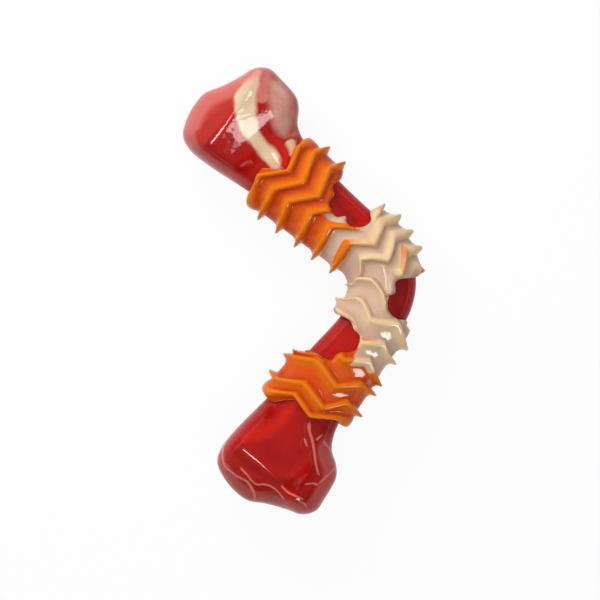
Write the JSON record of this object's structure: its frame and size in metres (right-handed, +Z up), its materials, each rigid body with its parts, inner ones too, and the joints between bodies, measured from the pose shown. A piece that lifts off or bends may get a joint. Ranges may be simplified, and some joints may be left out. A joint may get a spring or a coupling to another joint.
{
  "type": "bone-shaped dog toy",
  "caption": "Bent bone-shaped chew toy: a glossy two-knuckle core with a zigzag-ribbed, windowed sleeve moulded over its shaft.",
  "frame": {"origin": "on the resting plane, under the centre of the bounding box", "axes": "the toy lies flat: +Z is up, square to the plane of the bend; +Y runs from the lower knuckle towards the upper one; the elbow points to +X"},
  "size_m": [0.0912, 0.1794, 0.036],
  "materials": {
    "core_nylon": "glossy deep red with cream and pink marbling",
    "sleeve_rubber": "satin-gloss orange ends marbled into cream over the elbow"
  },
  "bodies": {
    "root": {"bone_core": "core_nylon", "chew_sleeve": "sleeve_rubber"}
  },
  "joints": []
}
